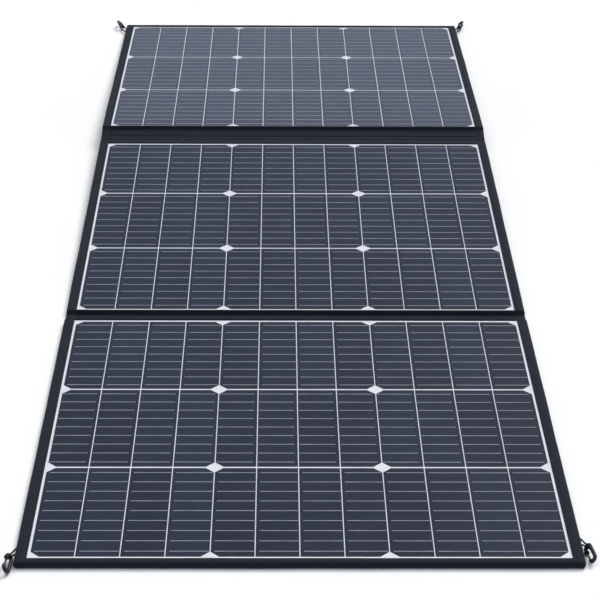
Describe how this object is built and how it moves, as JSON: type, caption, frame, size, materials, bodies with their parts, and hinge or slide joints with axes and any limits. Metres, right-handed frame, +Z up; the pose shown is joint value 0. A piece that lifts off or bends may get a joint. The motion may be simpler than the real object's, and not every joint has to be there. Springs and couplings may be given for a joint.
{
  "type": "folding solar panel",
  "caption": "Folding solar panel blanket: cell laminates in fabric covers, joined by fabric fold strips, with snap hooks on corner cords and a zipped rear pouch.",
  "frame": {"origin": "on the ground under the middle of the middle panel, half a panel beyond that panel's near crease", "axes": "+X along the folds, +Y from the near panel over the middle panel to the far panel, +Z up out of the cells"},
  "size_m": [0.5774, 1.6588, 0.0271],
  "materials": {
    "cover_fabric": "woven polyester, matt, dark navy",
    "border_fabric": "woven polyester, matt, dark navy",
    "binding_tape": "ribbed woven tape, matt",
    "foam": "closed-cell foam",
    "fibre_board": "glass-fibre board",
    "white_backsheet": "satin white sheet",
    "cell_silicon": "dark blue-black silicon",
    "clear_film": "clear textured fluoropolymer film",
    "lead_insulation": "flat insulated copper lead",
    "black_plastic": "moulded black plastic",
    "gasket_rubber": "soft rubber",
    "steel": "plain steel",
    "loop_cord": "braided black cord",
    "hook_metal": "black coated aluminium",
    "zip_tape": "black zip tape and coil",
    "zip_metal": "black coated zinc"
  },
  "bodies": {
    "near_panel": {"near_back_cover": "cover_fabric", "near_foam_pad": "foam", "near_terminal_cap": "black_plastic", "near_backing_board": "fibre_board", "near_backsheet": "white_backsheet", "near_cells": "cell_silicon", "near_front_film": "clear_film", "near_border": "border_fabric", "near_binding": "binding_tape", "near_left_loop": "loop_cord", "near_right_loop": "loop_cord"},
    "middle_panel": {"middle_back_cover": "cover_fabric", "middle_foam_pad": "foam", "middle_terminal_cap": "black_plastic", "middle_backing_board": "fibre_board", "middle_backsheet": "white_backsheet", "middle_cells": "cell_silicon", "middle_front_film": "clear_film", "middle_border": "border_fabric", "middle_binding": "binding_tape"},
    "far_panel": {"far_back_cover": "cover_fabric", "far_foam_pad": "foam", "far_terminal_cap": "black_plastic", "far_backing_board": "fibre_board", "far_backsheet": "white_backsheet", "far_cells": "cell_silicon", "far_front_film": "clear_film", "far_border": "border_fabric", "far_binding": "binding_tape", "far_left_loop": "loop_cord", "far_right_loop": "loop_cord", "pouch_shell": "cover_fabric", "pouch_zip": "zip_tape", "junction_box_base": "black_plastic", "junction_box_gasket": "gasket_rubber", "junction_box_lid": "black_plastic", "junction_box_screws": "steel", "diode_terminal_block": "black_plastic", "output_sockets": "black_plastic"},
    "near_fold": {"near_fold_backing_ply": "cover_fabric", "near_fold_leads": "lead_insulation", "near_fold_facing": "border_fabric", "near_fold_binding": "binding_tape"},
    "far_fold": {"far_fold_backing_ply": "cover_fabric", "far_fold_leads": "lead_insulation", "far_fold_facing": "border_fabric", "far_fold_binding": "binding_tape"},
    "near_left_hook_body": {"near_left_hook": "hook_metal", "near_left_gate_pin": "steel"},
    "near_left_gate_body": {"near_left_gate": "hook_metal"},
    "near_right_hook_body": {"near_right_hook": "hook_metal", "near_right_gate_pin": "steel"},
    "near_right_gate_body": {"near_right_gate": "hook_metal"},
    "far_left_hook_body": {"far_left_hook": "hook_metal", "far_left_gate_pin": "steel"},
    "far_left_gate_body": {"far_left_gate": "hook_metal"},
    "far_right_hook_body": {"far_right_hook": "hook_metal", "far_right_gate_pin": "steel"},
    "far_right_gate_body": {"far_right_gate": "hook_metal"},
    "zip_slider": {"zip_slider": "zip_metal"}
  },
  "joints": [
    {"name": "near_fold_inner", "type": "hinge", "parent": "middle_panel", "child": "near_fold", "pos_m": [0, -0.261, 0], "axis": [-1, 0, 0], "range_deg": [0, 88.55]},
    {"name": "near_fold_outer", "type": "hinge", "parent": "near_fold", "child": "near_panel", "pos_m": [0, -0.2775, 0], "axis": [-1, 0, 0], "range_deg": [0, 89.85]},
    {"name": "far_fold_inner", "type": "hinge", "parent": "middle_panel", "child": "far_fold", "pos_m": [0, 0.26886, 0.01202], "axis": [1, 0, 0], "range_deg": [0, 74.94]},
    {"name": "far_fold_outer", "type": "hinge", "parent": "far_fold", "child": "far_panel", "pos_m": [0, 0.29669, 0.02019], "axis": [1, 0, 0], "range_deg": [0, 108.56]},
    {"name": "near_left_hook_swing", "type": "hinge", "parent": "near_panel", "child": "near_left_hook_body", "pos_m": [-0.27635, -0.7905, 0.0058], "axis": [0, 0, -1], "range_deg": [0, 18]},
    {"name": "near_left_gate_swing", "type": "hinge", "parent": "near_left_hook_body", "child": "near_left_gate_body", "pos_m": [-0.27842, -0.79765, 0.00898], "axis": [0.8817, -0.0462, 0.4695], "range_deg": [0, 14], "stiffness_Nm_per_rad": 0.002},
    {"name": "near_right_hook_swing", "type": "hinge", "parent": "near_panel", "child": "near_right_hook_body", "pos_m": [0.27635, -0.7725, 0.0058], "axis": [0, 0, 1], "range_deg": [0, 18]},
    {"name": "near_right_gate_swing", "type": "hinge", "parent": "near_right_hook_body", "child": "near_right_gate_body", "pos_m": [0.27569, -0.77991, 0.00262], "axis": [-0.8744, -0.1229, 0.4695], "range_deg": [0, 14], "stiffness_Nm_per_rad": 0.002},
    {"name": "far_left_hook_swing", "type": "hinge", "parent": "far_panel", "child": "far_left_hook_body", "pos_m": [-0.28025, 0.81431, 0.0058], "axis": [0, 0, 1], "range_deg": [-12, 12]},
    {"name": "far_left_gate_swing", "type": "hinge", "parent": "far_left_hook_body", "child": "far_left_gate_body", "pos_m": [-0.27926, 0.822, 0.00349], "axis": [0.625, 0.1501, 0.766], "range_deg": [0, 14], "stiffness_Nm_per_rad": 0.002},
    {"name": "far_right_hook_swing", "type": "hinge", "parent": "far_panel", "child": "far_right_hook_body", "pos_m": [0.28025, 0.81631, 0.0058], "axis": [0, 0, -1], "range_deg": [-6, 12]},
    {"name": "far_right_gate_swing", "type": "hinge", "parent": "far_right_hook_body", "child": "far_right_gate_body", "pos_m": [0.28393, 0.82313, 0.00811], "axis": [-0.6373, 0.0839, 0.766], "range_deg": [0, 14], "stiffness_Nm_per_rad": 0.002},
    {"name": "zip_slide", "type": "slide", "parent": "far_panel", "child": "zip_slider", "axis": [1, 0, 0], "range_m": [0, 0.222]}
  ]
}
